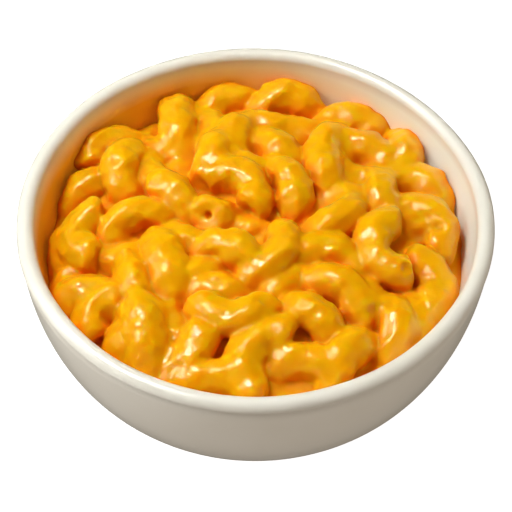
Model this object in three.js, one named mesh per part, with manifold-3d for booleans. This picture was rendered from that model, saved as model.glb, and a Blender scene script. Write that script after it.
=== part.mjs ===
// A bowl of mac and cheese: a round glazed stoneware bowl with a rolled rim,
// and the mound of sauced elbow macaroni that fills it.
// Millimetres, +Z up. The origin is the middle of the foot ring, on the table.
import * as THREE from 'three'
import { mergeVertices } from 'three/addons/utils/BufferGeometryUtils.js'
import Module from 'manifold-3d'

const wasm = await Module()
wasm.setup()

// ---- driving dimensions -------------------------------------------------
const TURN_SEGMENTS = 48 // round the bowl, a multiple of four
const OUTER_WALL_STEPS = 9
const INNER_WALL_STEPS = 8
const BEAD_STEPS = 10
const DOME_STEPS = 4

// bowl
const BOWL_HEIGHT = 58
const BOWL_RADIUS = 70 // outermost, at the rim's bead
const BEAD_RADIUS = 2.7 // the rim is a rolled bead, twice this thick
const BEAD_PROUD = 0.4 // how far the bead stands out from the body below it
const BEAD_CREASE_ANGLE = -45 // degrees, where the body runs into the bead
const WALL_SQUARENESS = 2.28 // exponent of the body's curve: 2 is round, more is squarer
const OUTER_BASE_RADIUS = 38 // where the body's curve turns flat, outside
const OUTER_BASE_Z = 1.8
const INNER_BASE_RADIUS = 33 // the same, inside
const INNER_BASE_Z = 7.5
const FOOT_OUTER_RADIUS = 37.5
const FOOT_INNER_RADIUS = 33.5
const FOOT_RECESS = 2 // depth of the hollow inside the foot ring
const FOOT_EDGE = 0.9 // width of the foot ring's sloped edges

// mound
const CREST_Z = 55 // height of the mound's middle
const CREST_DROP = 7 // how much lower its crests are at CREST_DROP_RADIUS
const CREST_DROP_RADIUS = 60
const SAUCE_DEPTH = 6.8 // the sauce between the elbows lies this far under the crests
const BOWL_GAP = 0.3 // clearance between the food and the glaze

// one elbow of macaroni in its coat of sauce
const TUBE_RADIUS = 5.3
const BEND_RADIUS = 9
const BEND_ANGLE = 155 // degrees of arc
const TUBE_SIDES = 8
const TUBE_STEPS = 6
const BORE_RADIUS = 1.7 // what the sauce leaves open of the hole
const BORE_DEPTH = 4
const BORE_STEPS = 2
const LEVEL_SAMPLES = 16 // points tried along an elbow to find its highest

// Where the elbows of the top layer lie, clockwise by region from the back left.
// x, y: the elbow's middle. facing: the way its bulge points, in degrees from +X.
// tip: how far the bulge is turned up, so 0 lies flat and 90 stands as an arch.
// pitch: how far its left end is raised, seen along the way it faces.
// lift: how far its highest point stands above the mound's even surface.
const ELBOWS = [
  // back left, along the wall and inwards
  [-44, 36, 135, 20, 40, -2],
  [-26, 46, 0, 75, 15, 0],
  [-27, 39, 262, 40, 0, -3],
  [-41, 24, 178, 60, -12, 0.5],
  [-51, 20, 120, 60, 0, -2],
  [-52, -2, 180, 0, 0, 0],
  [-56, -3, 180, 70, 0, -4],
  [-37, 3, 115, 50, 0, 0],
  [-23, 10, 30, 65, 20, 0],
  [-14, 29, -10, 75, 0, 1],
  [-6, 39, 170, 70, 0, 0],
  [-9, 58, 110, 60, 0, 0],
  // back right
  [10, 58, 90, 60, 0, 2],
  [6, 33, 40, 60, 0, -1],
  [16, 42, 80, 60, 20, -2],
  [32, 51, 95, 50, 0, 0],
  [23, 36, 155, 75, 0, 0.5],
  [34, 34, 70, 45, 0, 0],
  [22, 25, 180, 75, 0, 0],
  [46, 34, 5, 70, 0, 0],
  [51, 20, 50, 45, 0, -1],
  [39, 15, 180, 70, 0, 0],
  [53, 5, 30, 25, 0, 0],
  [30, 12, 90, 60, 0, -3],
  // middle
  [-4, 13, 60, 10, 0, 0],
  [10, 16, 20, 65, 0, 0],
  [25, 4, -45, 50, 0, 0],
  [-7, -11, 62, 50, 0, 0],
  [5, -11, -30, 40, 0, 0],
  [-11, -24, 90, 60, 0, -3],
  // front right
  [51, -18, 8, 10, 0, -1],
  [25, -24, 50, 40, 0, 0],
  [15, -32, 60, 60, -15, 0],
  [13, -47, 80, 50, 0, -1],
  [25, -45, 145, 60, 0, 0],
  [40, -34, 0, 70, 0, 0],
  [45, -30, 10, 60, 0, -3],
  // front left
  [-27, -12, 10, 80, 0, 0.5],
  [-38, -18, 120, 60, 0, -1],
  [-47, -22, 120, 60, 0, -1],
  [-53, -17, 140, 60, 0, -5],
  [-41, -32, 130, 0, 0, 0],
  [-33, -39, 10, 70, 20, 0.5],
  [-36, -41, 180, 75, -30, -2],
  [-24, -46, 0, 60, 0, -4],
  [-17, -42, -20, 60, 0, -0.5],
  [-12, -52, 90, 60, 0, -1],
  [1, -46, 160, 0, 0, 0],
  // deeper ones that show in the gaps
  [-37, 46, 130, 60, 0, -6],
  [-17, 46, 20, 40, 0, -3],
  [3, 47, 260, 40, 0, -2],
  [-31, 25, 200, 30, 0, -4],
  [-3, 26, 240, 40, 0, -2.5],
  [30, 24, 250, 40, 0, -4],
  [47, 8, 250, 30, 0, -3],
  [-20, -3, 250, 40, 0, -4],
  [-38, -8, 270, 40, 0, -4],
  [22, -11, 80, 30, 0, -3],
  [-19, -17, 300, 50, 0, -3],
  [10, -22, 130, 50, 0, -4],
  [35, -25, 220, 40, 0, -3],
  [-24, -32, 200, 60, 0, -3.5],
  [34, -49, 310, 60, 0, -5],
  [12, -56, 270, 60, 0, -6],
]

// The same six numbers for elbows that show an open end, and which end it is:
// 1 for the left end, seen along the way the elbow faces, and -1 for the right.
const OPEN_ELBOWS = [
  { lies: [-10, 1, -110, -50, -20, -1], open: -1 },
  { lies: [37, -6, 175, 0, 0, 1], open: 1 },
  { lies: [-6, -32, -90, 10, 0, 0.5], open: 1 },
]

// ---- solids from geometry, and back -------------------------------------
const WELD_DISTANCE = 1e-4

/** Join the shared corners of a geometry and drop the triangles that vanish at a pole. */
function welded(geometry) {
  const bare = geometry.clone()
  bare.deleteAttribute('normal')
  bare.deleteAttribute('uv')
  const joined = mergeVertices(bare, WELD_DISTANCE)
  const corners = joined.index.array
  const kept = []
  for (let i = 0; i < corners.length; i += 3) {
    const [a, b, c] = corners.slice(i, i + 3)
    if (a !== b && b !== c && c !== a) kept.push(a, b, c)
  }
  joined.setIndex(kept)
  return joined
}

function toSolid(geometry) {
  const mesh = welded(geometry)
  return new wasm.Manifold(new wasm.Mesh({
    numProp: 3,
    vertProperties: new Float32Array(mesh.attributes.position.array),
    triVerts: new Uint32Array(mesh.index.array),
  }))
}

function toGeometry(solid) {
  const mesh = solid.getMesh()
  const geometry = new THREE.BufferGeometry()
  geometry.setAttribute('position', new THREE.BufferAttribute(mesh.vertProperties, 3))
  geometry.setIndex(new THREE.BufferAttribute(mesh.triVerts, 1))
  geometry.computeVertexNormals()
  return geometry
}

/** The largest shell of a solid: hollows that fusing sealed are filled, scraps dropped. */
function mainBody(solid) {
  const shells = solid.decompose()
  return shells.reduce((best, shell) => (shell.volume() > best.volume() ? shell : best))
}

/** A profile of [r, z] pairs, listed up the outside, turned round the Z axis. */
function turned(profile, segments = TURN_SEGMENTS) {
  const points = profile.map(([r, z]) => new THREE.Vector2(r, z))
  return new THREE.LatheGeometry(points, segments).rotateX(Math.PI / 2)
}

// ---- bowl ---------------------------------------------------------------
const RIM_CENTRE_RADIUS = BOWL_RADIUS - BEAD_RADIUS
const RIM_CENTRE_Z = BOWL_HEIGHT - BEAD_RADIUS
const MOUTH_RADIUS = RIM_CENTRE_RADIUS - BEAD_RADIUS

/** Quarter of a superellipse, from a flat bottom at [r0, z0] to an upright wall at [r1, z1]. */
function wallCurve([r0, z0], [r1, z1], steps) {
  const power = 2 / WALL_SQUARENESS
  return Array.from({ length: steps + 1 }, (_, i) => {
    const angle = (i / steps) * Math.PI / 2
    return [r0 + (r1 - r0) * Math.sin(angle) ** power, z1 + (z0 - z1) * Math.cos(angle) ** power]
  })
}

/** Points round the rim's bead, from the crease outside, over the top, to the inner wall. */
function beadArc(steps) {
  const start = THREE.MathUtils.degToRad(BEAD_CREASE_ANGLE)
  return Array.from({ length: steps + 1 }, (_, i) => {
    const angle = start + (Math.PI - start) * (i / steps)
    return [RIM_CENTRE_RADIUS + BEAD_RADIUS * Math.cos(angle), RIM_CENTRE_Z + BEAD_RADIUS * Math.sin(angle)]
  })
}

function bowlGeometry() {
  const bead = beadArc(BEAD_STEPS)
  const bodyTop = [BOWL_RADIUS - BEAD_PROUD, bead[0][1] - BEAD_PROUD]
  const outside = wallCurve([OUTER_BASE_RADIUS, OUTER_BASE_Z], bodyTop, OUTER_WALL_STEPS)
  const inside = wallCurve([INNER_BASE_RADIUS, INNER_BASE_Z], [MOUTH_RADIUS, RIM_CENTRE_Z], INNER_WALL_STEPS)
  return welded(turned([
    [0, FOOT_RECESS],
    [FOOT_INNER_RADIUS - FOOT_EDGE, FOOT_RECESS],
    [FOOT_INNER_RADIUS, 0],
    [FOOT_OUTER_RADIUS, 0],
    ...outside,
    ...bead,
    ...inside.reverse().slice(1),
    [0, INNER_BASE_Z],
  ]))
}

// ---- mound --------------------------------------------------------------
const crestHeight = (r) => CREST_Z - CREST_DROP * (r / CREST_DROP_RADIUS) ** 2
const crestSlope = (r) => Math.atan(2 * CREST_DROP * r / CREST_DROP_RADIUS ** 2)

/** The bowl's hollow, less the clearance, open upwards past the highest elbow. */
function cavity() {
  const top = BOWL_HEIGHT + 2 * TUBE_RADIUS
  const floorZ = INNER_BASE_Z + BOWL_GAP
  const mouth = MOUTH_RADIUS - BOWL_GAP
  const wall = wallCurve([INNER_BASE_RADIUS, floorZ], [mouth, RIM_CENTRE_Z], INNER_WALL_STEPS)
  return turned([[0, floorZ], ...wall, [mouth, top], [0, top]])
}

/** A plug wider than the bowl whose domed top is the level of the sauce. */
function sauceCore() {
  const dome = Array.from({ length: DOME_STEPS + 1 }, (_, i) => {
    const r = BOWL_RADIUS * (1 - i / DOME_STEPS)
    return [r, crestHeight(r) - SAUCE_DEPTH]
  })
  return turned([[0, 0], [BOWL_RADIUS, 0], ...dome], TURN_SEGMENTS / 2)
}

/** The middle line of an elbow, about its own middle: the bulge along +X, the left end at +Y. */
class BendCurve extends THREE.Curve {
  constructor(from, to) {
    super()
    this.from = from
    this.to = to
  }

  getPoint(t, target = new THREE.Vector3()) {
    const half = THREE.MathUtils.degToRad(BEND_ANGLE) / 2
    const centroid = BEND_RADIUS * Math.sin(half) / half
    const angle = half * THREE.MathUtils.lerp(this.from, this.to, t)
    return target.set(BEND_RADIUS * Math.cos(angle) - centroid, BEND_RADIUS * Math.sin(angle), 0)
  }
}

/** A round bar along the elbow's middle line. -1 is its right end and 1 its left end. */
function bar(radius, from, to, steps) {
  const section = new THREE.Shape().absarc(0, 0, radius, 0, 2 * Math.PI, false)
  return new THREE.ExtrudeGeometry(section, {
    steps,
    curveSegments: TUBE_SIDES / 2, // a full circle is cut into twice this many sides
    extrudePath: new BendCurve(from, to),
  })
}

/** The matrix that lays an elbow on the mound. It leans with the mound's slope. */
function placement([x, y, facing, tip, pitch, lift]) {
  const rad = THREE.MathUtils.degToRad
  const r = Math.hypot(x, y)
  const downhill = new THREE.Vector3(-y, x, 0).normalize()
  const place = new THREE.Matrix4().makeRotationAxis(downhill, crestSlope(r))
    .multiply(new THREE.Matrix4().makeRotationZ(rad(facing)))
    .multiply(new THREE.Matrix4().makeRotationX(rad(pitch)))
    .multiply(new THREE.Matrix4().makeRotationY(-rad(tip)))
  const middleLine = new BendCurve(-1, 1).getPoints(LEVEL_SAMPLES).map((p) => p.applyMatrix4(place))
  const rise = middleLine.map((p) => p.z + TUBE_RADIUS - crestHeight(Math.hypot(p.x + x, p.y + y)))
  return place.setPosition(x, y, lift - Math.max(...rise))
}

function elbow(lies) {
  return toSolid(bar(TUBE_RADIUS, -1, 1, TUBE_STEPS).applyMatrix4(placement(lies)))
}

/** An elbow with the last few millimetres of its hole left open at one end. */
function openElbow({ lies, open }) {
  const halfLength = BEND_RADIUS * THREE.MathUtils.degToRad(BEND_ANGLE) / 2
  const depth = BORE_DEPTH / halfLength
  const ends = [open * (1 - depth), open * (1 + depth)]
  const hole = bar(BORE_RADIUS, Math.min(...ends), Math.max(...ends), BORE_STEPS)
  return elbow(lies).subtract(toSolid(hole.applyMatrix4(placement(lies))))
}

function moundGeometry() {
  const pieces = [...ELBOWS.map(elbow), ...OPEN_ELBOWS.map(openElbow)]
  const mound = pieces.reduce((sum, piece) => sum.add(piece), toSolid(sauceCore()))
  return toGeometry(mainBody(mound.intersect(toSolid(cavity()))))
}

// ---- the part -----------------------------------------------------------
function named(name, geometry, material) {
  const mesh = new THREE.Mesh(geometry, material)
  mesh.name = name
  return mesh
}

const glazedStoneware = new THREE.MeshStandardMaterial({ color: '#efe9dc', roughness: 0.25, metalness: 0 })
const cheeseSauce = new THREE.MeshStandardMaterial({ color: '#f2a81c', roughness: 0.35, metalness: 0 })

const group = new THREE.Group()
group.add(named('bowl', bowlGeometry(), glazedStoneware))
group.add(named('macaroni_heap', moundGeometry(), cheeseSauce))

export default group
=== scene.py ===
# %% [markdown]
# # Bowl of mac and cheese
#
# A round stoneware bowl, 140 mm across, heaped with elbow macaroni in a thick cheese sauce.
# Two pieces make it: the bowl, turned from one profile, and the food, one surface that is
# worked out from the distances to 67 bent tubes and to the sauce between them. The packed
# model is loaded first as a frame, so that every piece lands where its solid is. Everything
# below is worked out in millimetres and turned to metres when a mesh is made.

# %% The frame
"""A round stoneware bowl of elbow macaroni in thick cheese sauce."""
import math

import bpy
import numpy as np
from mathutils import Matrix, Vector


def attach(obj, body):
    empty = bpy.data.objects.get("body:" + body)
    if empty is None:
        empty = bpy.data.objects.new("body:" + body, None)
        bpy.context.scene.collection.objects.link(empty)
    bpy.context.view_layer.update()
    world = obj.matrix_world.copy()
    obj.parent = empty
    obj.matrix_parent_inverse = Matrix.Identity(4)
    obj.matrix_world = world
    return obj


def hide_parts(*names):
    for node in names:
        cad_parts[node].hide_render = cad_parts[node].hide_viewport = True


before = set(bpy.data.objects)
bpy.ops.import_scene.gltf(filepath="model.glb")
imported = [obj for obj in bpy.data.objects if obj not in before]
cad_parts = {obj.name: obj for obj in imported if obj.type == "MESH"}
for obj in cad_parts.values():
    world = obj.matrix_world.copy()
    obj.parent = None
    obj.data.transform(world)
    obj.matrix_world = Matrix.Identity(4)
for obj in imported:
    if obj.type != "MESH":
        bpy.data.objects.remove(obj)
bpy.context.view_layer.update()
MM = 0.001

# %% [markdown]
# ## The bowl's profile
#
# The real bowl is thrown or pressed stoneware: a round body, a foot ring that it stands on,
# and a rolled rim. It could be a cylinder pulled about in sculpt mode, but a potter's own
# tool is a profile, and turning one gives an even wall with closed poles. The wall is a
# quarter of a superellipse, an ellipse whose power is a little above 2, so the side stands
# up straighter than a ball's and rounds off later.

# %% Wall and rim curves
BOWL_HEIGHT, BOWL_RADIUS = 58.0, 70.0
BEAD_RADIUS, BEAD_PROUD, BEAD_CREASE_ANGLE = 2.5, 0.35, 10.0
WALL_SQUARENESS = 2.32
OUTER_BASE_RADIUS, OUTER_BASE_Z = 38.0, 1.8
INNER_BASE_RADIUS, INNER_BASE_Z = 33.0, 7.5
RIM_RADIUS, RIM_Z = BOWL_RADIUS - BEAD_RADIUS, BOWL_HEIGHT - BEAD_RADIUS
MOUTH_RADIUS = RIM_RADIUS - BEAD_RADIUS
INNER_STEPS, OUTER_STEPS, BEAD_STEPS = 36, 40, 30


def wall_curve(start, end, steps):
    """Quarter superellipse: r grows with sin(a)^(2/p), z with 1 - cos(a)^(2/p)."""
    a = np.linspace(0, np.pi / 2, steps + 1)
    p = 2 / WALL_SQUARENESS
    r = start[0] + (end[0] - start[0]) * np.sin(a) ** p
    z = end[1] + (start[1] - end[1]) * np.abs(np.cos(a)) ** p
    return np.stack([r, z], 1)


def bead_curve(steps):
    """The rolled rim's section: a round from just above its outer crease over to the inside."""
    a = np.linspace(math.radians(BEAD_CREASE_ANGLE), np.pi, steps + 1)
    return np.stack([RIM_RADIUS + BEAD_RADIUS * np.cos(a), RIM_Z + BEAD_RADIUS * np.sin(a)], 1)


inner_wall = wall_curve((INNER_BASE_RADIUS, INNER_BASE_Z), (MOUTH_RADIUS, RIM_Z), INNER_STEPS)
print("mouth radius:", MOUTH_RADIUS, "mm; inner wall rows:", len(inner_wall))

# %% The whole profile, from the middle of the underside round to the middle of the inside
bead = bead_curve(BEAD_STEPS)
crease_z = bead[0, 1]
wall_top_z = crease_z - 1.2
outer_wall = wall_curve(
    (OUTER_BASE_RADIUS, OUTER_BASE_Z), (BOWL_RADIUS - BEAD_PROUD, wall_top_z), OUTER_STEPS)
# r and z of the underside, 2 mm up, and of the foot ring that stands on the table
foot = np.array([
    [0, 2.0], [20, 2.0], [32.6, 2.0], [33.35, 0.3], [33.8, 0], [36.9, 0], [37.6, 0.45],
])
# a groove half a millimetre deep sets the rolled rim off from the wall
groove = np.array([[BOWL_RADIUS - 0.75, crease_z - 0.8], [BOWL_RADIUS - 0.85, crease_z - 0.35]])
profile = np.concatenate([
    foot, outer_wall, groove, bead, inner_wall[::-1][1:], [[16, INNER_BASE_Z], [0, INNER_BASE_Z]],
])
inner_rows = np.arange(len(profile)) >= len(profile) - INNER_STEPS - 2
print("profile rows:", len(profile), "of which inside:", inner_rows.sum())

# %% [markdown]
# ## Turning it, and the potter's hand
#
# A lathe carries the profile round the axis. The two rows on the axis become one corner
# each, so no pole is left open. A bowl that is turned exactly looks machined, so the wall
# is then moved by less than a millimetre: long waves in its roundness and in the height of
# its rim, growing from nothing at the foot.

# %% Lathe and unevenness
SEGMENTS = 288
INSET = 0.2  # keeps the uneven wall inside the solid's box, in mm


def lathe(rows, segments):
    """A corner is (r cos a, r sin a, z) for each row and angle; the ends are single corners."""
    angle = np.arange(segments) * 2 * np.pi / segments
    rings = rows[1:-1]
    ring = np.stack([
        rings[:, None, 0] * np.cos(angle),
        rings[:, None, 0] * np.sin(angle),
        np.repeat(rings[:, 1:2], segments, 1),
    ], -1)
    corners = np.concatenate([ring.reshape(-1, 3), [[0, 0, rows[0, 1]], [0, 0, rows[-1, 1]]]])
    i = np.arange(len(rings) - 1)[:, None] * segments
    j = np.arange(segments)
    k = (j + 1) % segments
    quads = np.stack([i + j, i + k, i + segments + k, i + segments + j], -1).reshape(-1, 4)
    n = len(rings) * segments
    last = (len(rings) - 1) * segments
    low = np.stack([k, j, np.full(segments, n)], 1)
    high = np.stack([last + j, last + k, np.full(segments, n + 1)], 1)
    return corners, quads.tolist() + low.tolist() + high.tolist()


def hand_made(corners):
    """Moves corners out and up by sums of sines of the angle, in step with height squared.

    Two flatter places, where the wall was pressed in, are bells: -d exp(-((angle - a) / w)^2).
    """
    angle = np.arctan2(corners[:, 1], corners[:, 0])
    share = np.clip(corners[:, 2] / BOWL_HEIGHT, 0, 1) ** 2
    out = -0.6 * np.exp(-((angle - 0.75) / 0.45) ** 2) - 0.25 * np.exp(-((angle - 2.1) / 0.35) ** 2)
    out += (0.16 * np.sin(3 * angle + 0.6) + 0.10 * np.sin(5 * angle + 2.1)
            + 0.05 * np.sin(11 * angle))
    up = 0.14 * np.sin(2 * angle + 1.1) + 0.08 * np.sin(4 * angle + 0.2) + 0.05 * np.sin(9 * angle)
    r = np.hypot(corners[:, 0], corners[:, 1])
    scale = 1 + (out - INSET) * share / np.maximum(r, 1)
    moved = corners.copy()
    moved[:, :2] *= scale[:, None]
    moved[:, 2] += (up - INSET) * share
    return moved


bowl_corners, bowl_faces = lathe(profile, SEGMENTS)
print("bowl:", len(bowl_corners), "corners")

# %% [markdown]
# ## The glaze
#
# Stoneware is fired clay under a glassy glaze, here a warm cream one that was dipped on and
# fired glossy. To the eye that gives a soft, slightly wavy shine and a tone that is never quite
# even. Inside, the glaze is painted whiter, painted light that makes the shaded inner wall
# read as brightly lit. Near the food, and most at the left, the wall is tinted yellow: painted
# orange light that the food throws back, and partly a thin film of cheese. Neither has a
# thickness that shows, so both are tints in the material, laid where attributes of the mesh
# say.

# %% Helpers for materials
def colour(hex_code):
    """sRGB hex to the linear RGBA that the shader sockets take."""
    part = [int(hex_code[i:i + 2], 16) / 255 for i in (1, 3, 5)]
    linear = [c / 12.92 if c <= 0.04045 else ((c + 0.055) / 1.055) ** 2.4 for c in part]
    return (*linear, 1.0)


def add_node(tree, kind, inputs=None, **settings):
    """A shader node with its settings made, and its sockets set or linked by name."""
    node = tree.nodes.new(kind)
    for key, value in settings.items():
        setattr(node, key, value)
    for key, value in (inputs or {}).items():
        if isinstance(value, bpy.types.NodeSocket):
            tree.links.new(value, node.inputs[key])
        else:
            node.inputs[key].default_value = value
    return node


def new_material(name):
    """An empty material and its node tree."""
    material = bpy.data.materials.new(name)
    material.use_nodes = True
    material.node_tree.nodes.clear()
    return material, material.node_tree


def per_metre(size_mm):
    """Noise scale for features of this size, on Object coordinates in metres."""
    return 1 / (size_mm * MM)


print("cream glaze in linear light:", [round(c, 3) for c in colour("#D5D0C4")])

# %% Glazed stoneware
def stoneware_glaze():
    """Glass over clay: IOR 1.5, no metal, a soft gloss. Clouds in the tone are 17 mm across, as
    a dipped glaze pools, and the ripple in the shine is 9 mm, from the turned clay beneath."""
    material, tree = new_material("cream_stoneware_glaze")
    place = add_node(tree, "ShaderNodeTexCoord").outputs["Object"]
    cloud = add_node(tree, "ShaderNodeTexNoise", {
        "Vector": place, "Scale": per_metre(17), "Detail": 3.0,
    })
    tone = add_node(tree, "ShaderNodeMix", {
        "Factor": cloud.outputs["Fac"], "A": colour("#D5D0C4"), "B": colour("#DEDAD1"),
    }, data_type="RGBA")
    # painted light: the inside is mixed to a whiter colour so the shaded inner wall reads as lit
    inside = add_node(tree, "ShaderNodeAttribute", attribute_name="inside").outputs["Fac"]
    whitened = add_node(tree, "ShaderNodeMix", {
        "Factor": inside, "A": tone.outputs["Result"], "B": colour("#EAF2EC"),
    }, data_type="RGBA")
    # painted light: orange light thrown back by the food, partly a cheese film, tints the wall
    cheese_film_and_bounce = add_node(tree, "ShaderNodeAttribute", attribute_name="cheese_film_and_bounce").outputs["Fac"]
    stained_and_bounce_lit = add_node(tree, "ShaderNodeMix", {
        "Factor": cheese_film_and_bounce, "A": whitened.outputs["Result"], "B": colour("#FFC22C"),
    }, data_type="RGBA")
    ripple = add_node(tree, "ShaderNodeTexNoise", {
        "Vector": place, "Scale": per_metre(9), "Detail": 2.0,
    })
    bump = add_node(tree, "ShaderNodeBump", {
        "Height": ripple.outputs["Fac"], "Strength": 0.12, "Distance": 0.6 * MM,
    })
    shader = add_node(tree, "ShaderNodeBsdfPrincipled", {
        "Base Color": stained_and_bounce_lit.outputs["Result"], "Roughness": 0.32, "IOR": 1.5,
        "Coat Weight": 0.25, "Coat Roughness": 0.15, "Normal": bump.outputs["Normal"],
    })
    add_node(tree, "ShaderNodeOutputMaterial", {"Surface": shader.outputs["BSDF"]})
    return material


glaze = stoneware_glaze()
print(glaze.name, "has", len(glaze.node_tree.nodes), "nodes")

# %% [markdown]
# ## The bowl in its place
#
# from_pydata puts the corners and faces into a mesh. The object stays at the origin, with
# its place in the mesh, as the solid's does. An attribute on the corners of the inner wall
# says how far the painted whitening of the inside covers. The painted bounce light and film
# of cheese get one too, once the food is there to say where it touches.

# %% Glazed bowl
# where the painted whitening inside starts, and how far it takes to fade in, in mm
WHITENING_TOP_Z, WHITENING_FADE = 57.0, 3.0


def mesh_piece(name, corners, faces, material, smooth=True):
    """One mesh object from an array of corners in mm and a list of faces."""
    mesh = bpy.data.meshes.new(name)
    mesh.from_pydata((corners * MM).tolist(), [], faces)
    mesh.polygons.foreach_set("use_smooth", np.full(len(mesh.polygons), smooth))
    mesh.update()
    piece = bpy.data.objects.new(name, mesh)
    bpy.context.collection.objects.link(piece)
    mesh.materials.append(material)
    return piece


def paint(piece, name, values):
    """Writes one number for each corner, which a material reads as an attribute."""
    layer = piece.data.attributes.new(name, "FLOAT", "POINT")
    layer.data.foreach_set("value", values.astype(np.float32))


def per_corner(row_values):
    """Spreads one number for each profile row over the turned corners."""
    return np.concatenate([np.repeat(row_values[1:-1], SEGMENTS), row_values[[0, -1]]])


bowl = mesh_piece("glazed_bowl", hand_made(bowl_corners), bowl_faces, glaze)
below_rim = per_corner(np.where(inner_rows, np.clip(WHITENING_TOP_Z - profile[:, 1], 0, None), 0))
# painted light: how far down the inner wall the whitening reaches
whitening = np.clip(below_rim / WHITENING_FADE, 0, 1)
paint(bowl, "inside", whitening)
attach(bowl, "root")
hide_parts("bowl")
print("bowl faces:", len(bowl.data.polygons))

# %% [markdown]
# ## Where the elbows lie
#
# An elbow of cooked macaroni is a bent tube about 11 mm thick. Dropping them in a physics
# simulation would give a heap, but a different one from this heap, so each row below places
# one: x, y, the way that its bulge faces, how far the bulge tips up, how far it
# pitches end to end, and how high it stands above the crest of the heap. Three more numbers
# give the radius of its tube, the radius of its bend and its sweep, where they aren't the
# usual ones. The first 48 are the top layer, the next 16 lie deeper and show in the gaps, and
# the last three have an open end.

# %% The elbows, one to a row
TUBE_RADIUS, BEND_RADIUS, BEND_ANGLE = 5.6, 9.0, 155.0
ELBOWS = [
    [-47, 36, 125, 45, 15, 1.0, 6.2, 7.5, 150],
    [-26, 45, 0, 75, 10, 1.5, 6.4, 14, 105],
    [-28, 38, 262, 40, 0, -4],
    [-41, 24.5, 178, 60, -12, 1.5, 6.0],
    [-51, 20, 120, 60, 0, -2],
    [-51, -2, 180, 0, 0, 0, 5.8],
    [-56, -3, 180, 70, 0, -4],
    [-37, 3, 115, 50, 0, 0],
    [-24, 10, 30, 65, 30, 0],
    [-14, 29, -10, 75, 0, 1],
    [-6, 39, 170, 70, 0, 0],
    [-9, 58, 110, 60, 0, 0],
    [10, 58, 90, 60, 0, 2],
    [6, 33, 40, 60, 0, -1],
    [16, 42, 80, 60, 20, -4],
    [31.5, 48, 80, 50, 0, 0.5, 6.0, 7.5],
    [23, 36, 155, 75, 0, 0.5],
    [34, 34, 70, 45, 0, 0],
    [22, 25, 180, 75, 0, 0],
    [46.5, 34.5, 5, 70, 0, 1, 6.0],
    [52, 20, 50, 45, 0, 0],
    [39, 15, 180, 70, 0, 0],
    [53.2, 5, 30, 25, 0, 0, 6.0],
    [30, 12, 90, 60, 0, -3],
    [-5.5, 16, 50, 10, 0, 0, 5.8, 9.3, 175],
    [10, 16, 20, 65, 0, 0.8],
    [25, 4, -45, 50, 0, 0],
    [-7, -11, 62, 50, 0, 0],
    [5, -11, -30, 40, 0, 0],
    [-11, -24, 90, 60, 0, -3],
    [51, -18, 8, 10, 0, -1],
    [25, -24, 50, 40, 0, 0],
    [15, -32, 60, 60, -15, 0],
    [14.5, -47, 80, 50, 0, -1, 5.4, 8.5],
    [25, -45, 145, 60, 0, 0],
    [40, -34, 0, 70, 0, 0],
    [45, -30, 10, 60, 0, -3],
    [-26, -14, 17, 80, 0, 0.5, 5.8, 16, 85],
    [-35.5, -20, 15, 75, 0, -0.5, 5.8],
    [-49, -24, 100, 60, 0, -0.5, 6.2, 8],
    [-53, -17, 140, 60, 0, -5],
    [-44, -30.5, 150, 20, 0, 0, 5.8, 7.5, 140],
    [-30.5, -39.5, 8, 72, 12, 1.5, 6.3, 16, 90],
    [-36.5, -42, 180, 75, -30, -2.5, 5.2],
    [-24, -46, 0, 60, 0, -4],
    [-17, -42, -20, 60, 0, -0.5],
    [-12, -52, 90, 60, 0, -1],
    [1, -46, 155, 0, 0, 0, 5.8, 10, 175],
    [-36, 46, 130, 60, 0, -8.5],
    [-17, 46, 20, 40, 0, -3],
    [3, 47, 260, 40, 0, -2],
    [-31, 25, 200, 30, 0, -4],
    [-3, 26, 240, 40, 0, -2.5],
    [30, 24, 250, 40, 0, -4],
    [47, 8, 250, 30, 0, -3],
    [-20, -3, 250, 40, 0, -4],
    [-38, -8, 270, 40, 0, -4],
    [22, -11, 80, 30, 0, -1.5],
    [-19, -17, 300, 50, 0, -3],
    [10, -22, 130, 50, 0, -4],
    [35, -25, 220, 40, 0, -3],
    [-24, -32, 200, 60, 0, -3.5],
    [34, -49, 310, 60, 0, -5],
    [12, -56, 270, 60, 0, -6],
    [-6.5, 2.5, 70, -50, 20, 1.5, 6.2],
    [38, -7.8, 185, 0, 0, 1, 5.6, 9.3, 190],
    [-6, -32, -90, 10, 0, 0.5],
]
# the last three rows, and which end of each is open: 1 the left end, -1 the right
OPEN_ENDS = {64: 1, 65: 1, 66: 1}
# small holes where the end of a buried elbow looks out: x, y, z, radius, depth
PITS = [
    [-41.6, -32.8, 46.2, 1.5, 3.0], [43.4, -18.2, 51.0, 1.4, 1.8],
    [54.5, 0.6, 47.6, 1.4, 1.5], [2.9, -30.6, 53.0, 1.7, 1.4],
]
print("elbows:", len(ELBOWS), "of which open:", len(OPEN_ENDS), "and pits:", len(PITS))

# %% [markdown]
# ## From a row to a place
#
# Each elbow gets three axes of its own: towards its bulge, towards its left end, and out of
# its plane. They are turned by the row's angles, and then leaned so that the elbow lies on
# the heap's dome and not on a level floor. Last, it is lowered or raised until its highest
# point touches the crest.

# %% Axes of an elbow
CREST_Z, CREST_DROP, CREST_DROP_RADIUS = 55.0, 7.0, 60.0


def crest(r):
    """Height of the heap's dome: it drops with the square of the distance from the axis."""
    return CREST_Z - CREST_DROP * (r / CREST_DROP_RADIUS) ** 2


def turn(vectors, axis, angle):
    """Rodrigues' formula on rows v: v cos + (axis x v) sin + axis (axis . v)(1 - cos)."""
    axis = np.asarray(axis, float)
    return (vectors * math.cos(angle) + np.cross(axis, vectors) * math.sin(angle)
            + np.outer(vectors @ axis, axis) * (1 - math.cos(angle)))


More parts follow.
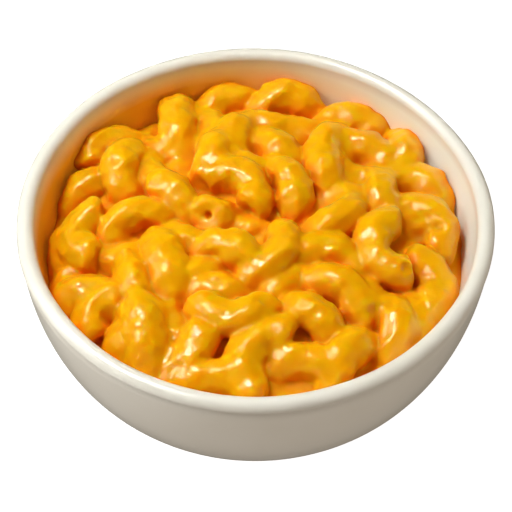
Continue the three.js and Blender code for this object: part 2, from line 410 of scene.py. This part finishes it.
def elbow_place(row):
    """An elbow's centre of bend, its axes, the radii of tube and bend, and half its sweep."""
    own = row[6:] + [TUBE_RADIUS, BEND_RADIUS, BEND_ANGLE][len(row) - 6:]
    x, y, facing, tip, pitch, lift = row[:6]
    tube, bow, half = own[0], own[1], math.radians(own[2]) / 2
    facing, tip, pitch = np.radians([facing, tip, pitch])
    bulge = np.array([math.cos(facing), math.sin(facing), 0])
    left = np.array([-math.sin(facing), math.cos(facing), 0])
    tipped = math.cos(tip) * bulge + np.array([0, 0, math.sin(tip)])
    axes = turn(np.array([tipped, left]), bulge, pitch)
    r = math.hypot(x, y)
    lean = math.atan(2 * CREST_DROP * r / CREST_DROP_RADIUS ** 2)
    axes = turn(axes, np.array([-y, x, 0]) / r, lean)
    t = np.linspace(-half, half, 17)[:, None]
    centre = np.array([x, y, 0]) - bow * math.sin(half) / half * axes[0]
    line = centre + bow * (np.cos(t) * axes[0] + np.sin(t) * axes[1])
    rise = line[:, 2] + tube - crest(np.hypot(line[:, 0], line[:, 1]))
    centre[2] += lift - rise.max()
    return centre, np.array([axes[0], axes[1], np.cross(axes[0], axes[1])]), tube, bow, half


PLACES = [elbow_place(row) for row in ELBOWS]
print("highest centre of bend:", round(max(place[0][2] for place in PLACES), 1), "mm")

# %% [markdown]
# ## The skin of one elbow
#
# Modelling 67 tubes and joining them with booleans leaves hard seams, and sauce has none.
# So the food is described by a signed distance instead: a function of a point that is
# negative inside and positive outside. For an elbow the point is first written in the
# elbow's own axes, where a bent tube is easy: the distance from its middle line, less the
# tube's radius. The skin swells here and there, low ridges run along it as sauce does when it
# flows down, and each end has a dish or, where it is open, a hole.

# %% Distance to an elbow
END_ROUND, END_PROUD = 3.2, 0.3
DISH_RADIUS = 2.3


def waves(points, length, seed, count=10):
    """Smooth noise about 0: the sum of sines of about one wavelength in random directions."""
    rng = np.random.default_rng(seed)
    way = rng.normal(size=(count, 3))
    per_mm = 2 * np.pi / length / np.linalg.norm(way, axis=1)
    way *= per_mm[:, None] * rng.uniform(0.7, 1.3, (count, 1))
    phase = rng.uniform(0, 2 * np.pi, count)
    total = np.zeros(len(points), np.float32)
    for k in range(count):
        total += np.sin(points @ way[k].astype(np.float32) + np.float32(phase[k]))
    return total * math.sqrt(2 / count) / 1.4


def elbow_distance(points, index):
    """Distance to a bent bar: hypot(distance from the bend circle, height off its plane) - tube.

    Past the ends the bar stops with a round of END_ROUND, and the end face is dished.
    """
    centre, axes, tube, bow, half = PLACES[index]
    u, v, w = ((points - centre.astype(np.float32)) @ axes.T.astype(np.float32)).T
    along = np.arctan2(v, u)
    beyond = np.abs(along) - half
    radial = np.hypot(u, v)
    past = radial * np.sin(np.clip(beyond, -np.pi / 2, np.pi / 2))
    off = np.where(beyond > 0, radial * np.cos(beyond), radial) - bow
    rng = np.random.default_rng(500 + index)
    phase = rng.uniform(0, 6.28, 5)
    swell = 0.24 * np.sin(3.1 * along + phase[0]) + 0.14 * np.sin(7 * along + phase[1])
    flat = 1 + 0.05 * rng.normal()
    rho = np.hypot(off * flat, w / flat)
    around = np.arctan2(w, off)
    ridge = 0.09 * np.sin(5 * around + phase[2] + 0.9 * np.sin(2.3 * along + phase[3]))
    ridge += 0.06 * np.sin(8 * around + phase[4] + 1.4 * np.sin(1.7 * along + phase[0]))
    ridge *= np.clip(rho / tube, 0, 1) ** 2
    left_depth, right_depth = rng.uniform(0.0, 0.6, 2)
    dish = np.where(along > 0, left_depth, right_depth) * np.exp(-(rho / DISH_RADIUS) ** 2)
    if index in OPEN_ENDS:
        # a wide dish 1 mm deep, and in its middle a narrow hole of 1.8 mm more
        hole = 1.0 * np.exp(-(rho / 3.2) ** 2) + 1.8 * np.exp(-(rho / 1.1) ** 4)
        dish = np.where(along * OPEN_ENDS[index] > 0, hole, dish)
    a = rho - (tube + swell + ridge - END_ROUND)
    b = past + dish + END_ROUND - END_PROUD
    outside = np.hypot(np.maximum(a, 0), np.maximum(b, 0))
    return np.minimum(np.maximum(a, b), 0) + outside - END_ROUND


sample = np.array([[0, 0, CREST_Z]], np.float32)
print("elbow 24 is", round(float(elbow_distance(sample, 24)[0]), 1), "mm from the top of the heap")

# %% [markdown]
# ## Sauce between them
#
# The sauce is a level that the elbows stand in, a little lower at the wall, where it has
# sunk away. To pour it into the creases, the distances are joined by a soft minimum: each
# counts as exp(-distance / k), the counts are added, and the logarithm turns the sum back
# into a distance. Where two surfaces are both near, the sum is larger than either, and the
# joint fills with a fillet about k wide. The order of the elbows makes no difference, so
# the result is the same on each run.

# %% Sauce, joint and wall
CLING = 0.8  # the food's side lies this far into the stoneware, so that no gap shows between them
REACH = 26.0  # no elbow's skin is further than this from its centre of bend
UNDER_ELBOWS_Z = 36.0
SAUCE_DEPTH, SAUCE_WAVE = 8.6, 0.8
WALL_DIP, DIP_START, DIP_WIDTH = 2.0, 53.0, 10.0
BOWL_GAP = 0.3
EDGE_ROUND = 0.1
LARGEST_POWER = 60  # exp() of more than this comes near the end of what 32 bits hold


def wall_distance(points):
    """Distance to the bowl's inner wall, negative beyond it: the wall's radius there less r."""
    x, y, z = points.T
    return np.interp(z, inner_wall[:, 1], inner_wall[:, 0]).astype(np.float32) - np.hypot(x, y)


def sauce_level(points):
    """Height above the sauce between the elbows, which is wavy and sinks towards the wall."""
    x, y, z = points.T
    r = np.hypot(x, y)
    dip = WALL_DIP * np.clip((r - DIP_START) / DIP_WIDTH, 0, 1) ** 2
    return z - (crest(r) - SAUCE_DEPTH - dip) - SAUCE_WAVE * waves(points, 14, 4)


def share_of(distance, k):
    """What one surface counts for in the joint: exp(-distance / k)."""
    return np.exp(np.clip(-distance / k, -LARGEST_POWER, LARGEST_POWER))


def join(points, k):
    """Distances d1, d2... of the elbows and the sauce joined as -k log(sum of exp(-d / k))."""
    k = np.broadcast_to(np.float32(k), len(points))
    x, y, z = points.T
    total = share_of(sauce_level(points), k)
    for index, (centre, *_) in enumerate(PLACES):
        beside = (np.abs(x - centre[0]) < REACH) & (np.abs(y - centre[1]) < REACH)
        near = np.flatnonzero(beside & (z > UNDER_ELBOWS_Z))
        if len(near):
            total[near] += share_of(elbow_distance(points[near], index), k[near])
    return -k * np.log(np.maximum(total, 1e-26))


def sauce_blend(points):
    """How far sauce fills the crease between two surfaces, in mm: more where it pooled."""
    x, y = points[:, 0], points[:, 1]
    pooled = np.exp(-((x + 9) ** 2 + (y - 36) ** 2) / (2 * 10 ** 2))
    smooth = np.exp(-((x - 28) ** 2 + (y - 27) ** 2) / (2 * 12 ** 2))
    return (0.5 + 0.7 * pooled + 0.5 * smooth + 0.1 * waves(points, 30, 3)).astype(np.float32)


def heap_field(points):
    """Signed distance to the food: the join, roughened by waves, cut by the wall and the base.

    A pit adds depth exp(-(distance / radius)^2), and is deeper than wide. The cut is the soft
    maximum max(a, b) + j log(1 + exp(-|a - b| / j)), which leaves an edge j round.
    """
    points = points.astype(np.float32)
    x, y, z = points.T
    lumps = 0.25 * waves(points, 9, 1) + 0.12 * waves(points, 4.5, 2) + 0.04 * waves(points, 2.4, 5)
    food = join(points, sauce_blend(points)) - lumps
    for px, py, pz, radius, depth in PITS:
        apart = (x - px) ** 2 + (y - py) ** 2 + 0.4 * (z - pz) ** 2
        food += depth * np.exp(-apart / radius ** 2)
    cut = np.maximum(-wall_distance(points) - CLING, INNER_BASE_Z + BOWL_GAP - z)
    return np.maximum(food, cut) + EDGE_ROUND * np.log1p(np.exp(-np.abs(food - cut) / EDGE_ROUND))


print("the field at the top of the heap:", round(float(heap_field(sample)[0]), 2), "mm")

# %% [markdown]
# ## A mesh from the field
#
# Blender can't show a distance field, so it is sampled on a grid of points 0.69 mm apart
# where elbows are, and coarser below, where nothing shows. Surface nets put one corner in
# each cell that the surface passes through, at the mean of its crossings, and one face
# across each grid edge that it crosses. Marching cubes would do too, but it leaves slivers.
# The corners are then settled onto the surface by Newton's method, which brings back the
# creases that the mean rounds off.

# %% Surface nets
def surface_nets(field_at, xs, ys, zs):
    """A corner is the mean of a cell's crossings, each at f0 / (f0 - f1) of its edge."""
    grid = np.stack(np.meshgrid(xs, ys, zs, indexing="ij"), -1)
    field = field_at(grid.reshape(-1, 3)).reshape(grid.shape[:3])
    inside = field < 0
    cells = tuple(n - 1 for n in inside.shape)
    total = np.zeros((*cells, 3), np.float32)
    count = np.zeros(cells, np.int16)
    for axis in range(3):
        low = [slice(None)] * 3
        high = [slice(None)] * 3
        low[axis], high[axis] = slice(None, -1), slice(1, None)
        f0, f1 = field[tuple(low)], field[tuple(high)]
        crossed = (f0 < 0) != (f1 < 0)
        share = np.where(crossed, f0 / np.where(crossed, f0 - f1, 1), 0)[..., None]
        place = grid[tuple(low)] * (1 - share) + grid[tuple(high)] * share
        place *= crossed[..., None]
        others = [a for a in range(3) if a != axis]
        for da in (0, 1):
            for db in (0, 1):
                part = [slice(None)] * 3
                part[others[0]] = slice(da, da + cells[others[0]])
                part[others[1]] = slice(db, db + cells[others[1]])
                total += place[tuple(part)]
                count += crossed[tuple(part)]
    used = count > 0
    number = np.full(cells, -1)
    number[used] = np.arange(used.sum())
    corners = total[used] / count[used][:, None]
    return corners, crossed_faces(inside, number)


def crossed_faces(inside, number):
    """A quad of the four cells round each grid edge that has one end inside, facing outwards."""
    faces = []
    for axis in range(3):
        others = [a for a in range(3) if a != axis]
        low = [slice(1, -1)] * 3
        high = [slice(1, -1)] * 3
        low[axis], high[axis] = slice(None, -1), slice(1, None)
        a, b = inside[tuple(low)], inside[tuple(high)]
        for flag, flip in ((a & ~b, axis == 1), (~a & b, axis != 1)):
            index = np.argwhere(flag)
            index[:, others] += 1
            ring = []
            for da, db in ((1, 1), (0, 1), (0, 0), (1, 0)):
                cell = index.copy()
                cell[:, others[0]] -= da
                cell[:, others[1]] -= db
                ring.append(number[cell[:, 0], cell[:, 1], cell[:, 2]])
            quad = np.stack(ring, 1)
            faces.append(quad[:, ::-1] if flip else quad)
    return np.concatenate(faces)


def settle(corners, field_at, rounds=2, step=0.15, longest=0.35):
    """Newton's step onto the surface: against the gradient, by the field's value over its slope.

    The slope comes from two samples a step to either side. No move is longer than longest mm.
    """
    for _ in range(rounds):
        value = field_at(corners)
        slope = np.stack([
            (field_at(corners + offset) - field_at(corners - offset)) / (2 * step)
            for offset in np.eye(3) * step
        ], 1)
        steep = np.maximum((slope ** 2).sum(1), 0.25)
        move = (value / steep)[:, None] * slope
        length = np.linalg.norm(move, axis=1)
        move *= np.minimum(1, longest / np.maximum(length, 1e-9))[:, None]
        corners = corners - move
    return corners


# %% The heap's mesh
VOXEL = 0.69
across = np.arange(-65.1, 65.2, VOXEL)
# under the elbows only the hidden side and base are left, and far fewer levels do
coarse = [6.6, 7.4, 8.6, 10.5, 13.5, 17.5, 22.0, 27.0, 31.5, 35.0, 37.2]
levels = np.concatenate([coarse, np.arange(38.4, 58.2, VOXEL)])
heap_corners, heap_faces = surface_nets(heap_field, across, across, levels)
upper = heap_corners[:, 2] > UNDER_ELBOWS_Z + 1
heap_corners[upper] = settle(heap_corners[upper], heap_field)
print("heap:", len(heap_corners), "corners,", 2 * len(heap_faces), "triangles")

# %% [markdown]
# ## Cheese sauce
#
# Cheddar melted into a white sauce is an emulsion of fat and water, poured hot. It isn't a
# paint: light goes in, scatters, and comes out a few millimetres away, red furthest and blue
# hardly at all, so lit parts look yellow and shaded ones orange. That is what subsurface
# scattering does. Fat on the surface gives a wet gloss that comes and goes, and breaks up
# into specks where the cheese is grainy. In the creases the sauce lies thick and dull, and
# its colour is painted deeper and darker there: partly thicker sauce, partly painted shade.

# %% Sauced pasta
def cheese_sauce():
    """An emulsion: IOR 1.45, no metal. The grain is 1.1 mm, the lumps 4 mm, the specks in the
    gloss 0.7 mm, coarser than real curds so that they show, and the wet patches 11 mm, about
    as wide as an elbow is thick."""
    material, tree = new_material("cheddar_sauce_on_pasta")
    place = add_node(tree, "ShaderNodeTexCoord").outputs["Object"]
    thick_sauce_and_shade = add_node(tree, "ShaderNodeAttribute", attribute_name="thick_sauce_and_shade").outputs["Fac"]
    # a thin coat is yellow; in creases and low places a darker orange: thick sauce and painted
    # shade
    tone = add_node(tree, "ShaderNodeMix", {
        "Factor": thick_sauce_and_shade, "A": colour("#D8A304"), "B": colour("#D67000"),
    }, data_type="RGBA")
    grain, lumps, specks, patch = [
        add_node(tree, "ShaderNodeTexNoise", {
            "Vector": place, "Scale": per_metre(size), "Detail": detail,
        })
        for size, detail in ((1.1, 3.0), (4, 2.0), (0.7, 1.0), (11, 1.0))
    ]
    low = add_node(tree, "ShaderNodeBump", {
        "Height": lumps.outputs["Fac"], "Strength": 0.2, "Distance": 1.2 * MM,
    })
    fine = add_node(tree, "ShaderNodeBump", {
        "Height": grain.outputs["Fac"], "Strength": 0.1, "Distance": 0.5 * MM,
        "Normal": low.outputs["Normal"],
    })
    broken = add_node(tree, "ShaderNodeBump", {
        "Height": specks.outputs["Fac"], "Strength": 0.8, "Distance": 0.15 * MM,
        "Normal": low.outputs["Normal"],
    })
    # fat lies on the raised parts, in patches
    wet = add_node(tree, "ShaderNodeMapRange", {
        "Value": patch.outputs["Fac"], "From Min": 0.4, "From Max": 0.55,
        "To Min": 0.2, "To Max": 1.0,
    })
    raised = add_node(tree, "ShaderNodeMapRange", {
        "Value": thick_sauce_and_shade, "From Min": 0.1, "From Max": 0.45, "To Min": 1.0, "To Max": 0.0,
    })
    fat = add_node(tree, "ShaderNodeMath", {
        0: wet.outputs["Result"], 1: raised.outputs["Result"],
    }, operation="MULTIPLY")
    rough = add_node(tree, "ShaderNodeMapRange", {
        "Value": thick_sauce_and_shade, "From Min": 0.1, "From Max": 0.6, "To Min": 0.36, "To Max": 0.6,
    })
    shader = add_node(tree, "ShaderNodeBsdfPrincipled", {
        "Base Color": tone.outputs["Result"], "Roughness": rough.outputs["Result"], "IOR": 1.45,
        "Normal": fine.outputs["Normal"], "Coat Normal": broken.outputs["Normal"],
        "Coat Weight": fat.outputs["Value"], "Coat Roughness": 0.1,
        "Subsurface Weight": 1.0, "Subsurface Radius": (1.0, 0.43, 0.08),
        "Subsurface Scale": 5 * MM,
        "Specular IOR Level": 0.3, "Specular Tint": (1.0, 0.9, 0.45, 1),
    })
    add_node(tree, "ShaderNodeOutputMaterial", {"Surface": shader.outputs["BSDF"]})
    return material


sauce = cheese_sauce()
print(sauce.name, "has", len(sauce.node_tree.nodes), "nodes")

# %% [markdown]
# ## The food in its place
#
# One attribute says where the sauce lies thick and where painted shade darkens it, in the
# creases and valleys where shade falls and, a little, low in the heap. The distance field
# knows it: from each corner a step is taken straight out, and if the field there is smaller
# than the step, something else is near, another elbow or the wall. Two steps, a short and a
# long one, catch the narrow creases and the wide valleys.

# %% Sauced macaroni
SHORT_REACH, LONG_REACH = 2.5, 6.0
SUNK_START, SUNK_WIDTH = 3.0, 7.0
TOP_LAYER = 14.0


def closeness(points, normals, reach):
    """How much lies in front of the surface: 1 - distance(point + normal reach) / reach.

    The wall's distance counts double, because it is pale and throws light back.
    """
    ahead = points + normals * np.float32(reach)
    return np.clip(1 - np.minimum(heap_field(ahead), 2 * wall_distance(ahead)) / reach, 0, 1)


heap = mesh_piece("sauced_macaroni", heap_corners, heap_faces.tolist(), sauce)
normals = np.empty(3 * len(heap_corners), np.float32)
heap.data.vertex_normals.foreach_get("vector", normals)
normals = normals.reshape(-1, 3)
skin = heap_corners.astype(np.float32)
close = sum(closeness(skin, normals, reach) for reach in (SHORT_REACH, LONG_REACH)) / 2
depth = crest(np.hypot(heap_corners[:, 0], heap_corners[:, 1])) - heap_corners[:, 2]
sunk = np.clip((depth - SUNK_START) / SUNK_WIDTH, 0, 1)
# painted shade: closed-in creases and low places take the darker orange, partly thicker sauce
thick_sauce_and_shade = np.clip(0.85 * close + 0.15 * sunk, 0, 1)
paint(heap, "thick_sauce_and_shade", thick_sauce_and_shade)
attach(heap, "root")
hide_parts("macaroni_heap")
print("deep, by fifths:", np.quantile(thick_sauce_and_shade[depth < TOP_LAYER], np.linspace(0, 1, 6)).round(2))

# %% [markdown]
# ## Painted bounce light and film on the wall
#
# The wall is tinted with painted light: the orange light that the food throws back on it,
# and partly a film of cheese that stirring and serving leave. It fades out towards the rim,
# it is strongest at the left, where the wall lies in shade and only the food lights it, and
# close to an elbow there is always some. The same distance field that made the food says
# how close.

# %% Painted bounce light and film of cheese
SMEAR_AND_BOUNCE_FADE, TOUCH_REACH = 9.0, 3.5

# painted light: the food's orange bounce, strongest at the left where the wall is in shade
# nothing at the far right, 0.72 in the middle, and whole 24 mm left of it
bounce_side = np.clip(0.72 - bowl_corners[:, 0] / 85, 0, 1)
smear_and_bounce = np.clip(below_rim / SMEAR_AND_BOUNCE_FADE, 0, 1) ** 1.2 * bounce_side
# painted light: an orange glow on the wall close to an elbow, light that the food throws back
bounce_near_food = np.clip(1 - heap_field(bowl_corners) / TOUCH_REACH, 0, 1) ** 2 * whitening
paint(bowl, "cheese_film_and_bounce", np.clip(smear_and_bounce + 0.2 * bounce_near_food, 0, 1))
print("corners of the bowl with film:", int((smear_and_bounce + bounce_near_food > 0.05).sum()))

# %% [markdown]
# ## Floor
#
# The bowl stands on a pale sheet of paper that a studio lights until it is nearly white. A
# little glow of its own gives that without a lamp that would also burn out the bowl. It is
# hidden from the rays that fill shadows and make reflections, so the sky below decides how
# the bowl's underside is lit.

# %% Pale floor
def studio_floor():
    """Matt paper, grey 0.35, with an even glow."""
    material, tree = new_material("pale_studio_floor")
    paper = add_node(tree, "ShaderNodeBsdfDiffuse", {"Color": (0.35, 0.35, 0.35, 1)})
    glow = add_node(tree, "ShaderNodeEmission", {"Color": (1, 1, 1, 1), "Strength": 0.97})
    both = add_node(tree, "ShaderNodeAddShader", {0: paper.outputs[0], 1: glow.outputs[0]})
    add_node(tree, "ShaderNodeOutputMaterial", {"Surface": both.outputs[0]})
    return material


FLOOR_HALF = 3000.0
sheet = np.array([[-1, -1, 0], [1, -1, 0], [1, 1, 0], [-1, 1, 0]]) * FLOOR_HALF
floor = mesh_piece("studio_floor", sheet, [[0, 1, 2, 3]], studio_floor(), smooth=False)
floor.visible_diffuse = False
floor.visible_glossy = False
print("floor:", 2 * FLOOR_HALF * MM, "m across")

# %% [markdown]
# ## Sky
#
# Around the bowl the studio is dim above and bright near the table, brightest to the left,
# where the window is, and less so to the right. The sky is a few mixes on the direction that
# a ray leaves in: its height chooses between above and below, its x between left and right.

# %% World
world = bpy.data.worlds.new("studio")
bpy.context.scene.world = world
world.use_nodes = True
world.cycles_visibility.glossy = False
sky = world.node_tree
ray = add_node(sky, "ShaderNodeTexCoord").outputs["Generated"]
axis = add_node(sky, "ShaderNodeSeparateXYZ", {"Vector": ray})


def part_way(name, start, end):
    """0 before start and 1 past end, along one axis of the ray's direction."""
    return add_node(sky, "ShaderNodeMapRange", {
        "Value": axis.outputs[name], "From Min": start, "From Max": end,
    }).outputs["Result"]


def sky_mix(factor, a, b):
    """One light fading into another, as the factor goes from 0 to 1."""
    node = add_node(sky, "ShaderNodeMix", {"Factor": factor, "A": a, "B": b}, data_type="RGBA")
    return node.outputs["Result"]


# strengths of red, green and blue: below at the front, window side and right side, then above
TABLE, TABLE_LEFT, TABLE_RIGHT = (0.61, 0.53, 0.475, 1), (3.6, 3.45, 3.2, 1), (1.7, 1.58, 1.42, 1)
CEILING, CEILING_RIGHT = (0.10, 0.08, 0.06, 1), (0.65, 0.55, 0.42, 1)
to_left, to_right = part_way("X", -0.1, -1.0), part_way("X", 0.3, 1.0)
above = part_way("Z", -0.05, 0.05)
table = sky_mix(to_left, TABLE, TABLE_LEFT)
table = sky_mix(to_right, table, TABLE_RIGHT)
ceiling = sky_mix(to_right, CEILING, CEILING_RIGHT)
sky.links.new(sky_mix(above, table, ceiling), sky.nodes["Background"].inputs["Color"])
print("sky nodes:", len(sky.nodes))

# %% [markdown]
# ## Lamps
#
# A small key lamp stands high at the left and draws the crisp highlights. A wide window
# lies lower on the same side and gives the soft ones. A large warm lamp overhead stands for
# the light that the food throws back on itself, and lights the food alone, and a large pale
# one opens up the bowl alone. Light linking does that: a lamp's receivers are a collection,
# and so are the pieces that cast its shadows.

# %% Lights
def area_light(name, direction, distance, size, power, tint):
    """A round lamp on a ray from 50 mm above the table, facing back along it."""
    data = bpy.data.lights.new(name, "AREA")
    data.shape = "DISK"
    data.size = size
    data.energy = power
    data.color = tint
    lamp = bpy.data.objects.new(name, data)
    bpy.context.collection.objects.link(lamp)
    way = Vector(direction).normalized()
    lamp.location = Vector((0, 0, 50 * MM)) + way * distance
    lamp.rotation_euler = way.to_track_quat("Z", "Y").to_euler()
    return lamp


key = area_light("key", (-0.36, 0.14, 0.92), 0.5, 0.15, 1.28, (0.95, 0.98, 0.95))
window = area_light("window", (-0.84, -0.02, 0.54), 0.7, 0.35, 2.4, (0.95, 0.98, 0.98))
bounce = area_light("bounce", (0.15, -0.1, 1), 0.6, 1.2, 1.3, (1, 0.58, 0.22))
fill = area_light("fill", (0.5, -0.05, 0.85), 0.6, 1.2, 0.68, (1, 0.99, 0.94))
for lamp, piece in ((bounce, heap), (fill, bowl)):
    only = bpy.data.collections.new("lit_by_" + lamp.name)
    only.objects.link(piece)
    lamp.light_linking.receiver_collection = only
    lamp.light_linking.blocker_collection = only
    lamp.visible_glossy = False
print("lamps:", [lamp.name for lamp in (key, window, bounce, fill)])

# %% [markdown]
# ## Camera
#
# The camera stands in front, looks down at about 51 degrees, and has a long lens, so that
# the bowl's near and far rims are nearly the same width. Its matrix is built from three
# directions, right, up and back, which saves turning angles into rotations.

# %% Camera
FOCAL_PIXELS, FRAME_PIXELS, SENSOR = 1160.2, 512, 36
camera_data = bpy.data.cameras.new("camera")
camera = bpy.data.objects.new("camera", camera_data)
bpy.context.collection.objects.link(camera)
camera_data.sensor_width = SENSOR
camera_data.lens = FOCAL_PIXELS / FRAME_PIXELS * SENSOR
camera_data.clip_start = 0.01
forward = Vector((0.00088, 0.62669, -0.77927)).normalized()
up = Vector((-0.010458, 0.77923, 0.62665)).normalized()
right = forward.cross(up).normalized()
stand = Vector((0.0, -0.2247, 0.31255))
camera.matrix_world = Matrix((
    (right.x, up.x, -forward.x, stand.x),
    (right.y, up.y, -forward.y, stand.y),
    (right.z, up.z, -forward.z, stand.z),
    (0, 0, 0, 1),
))
bpy.context.scene.camera = camera
bpy.context.scene.view_settings.view_transform = "Standard"
print("lens:", round(camera_data.lens, 1), "mm")
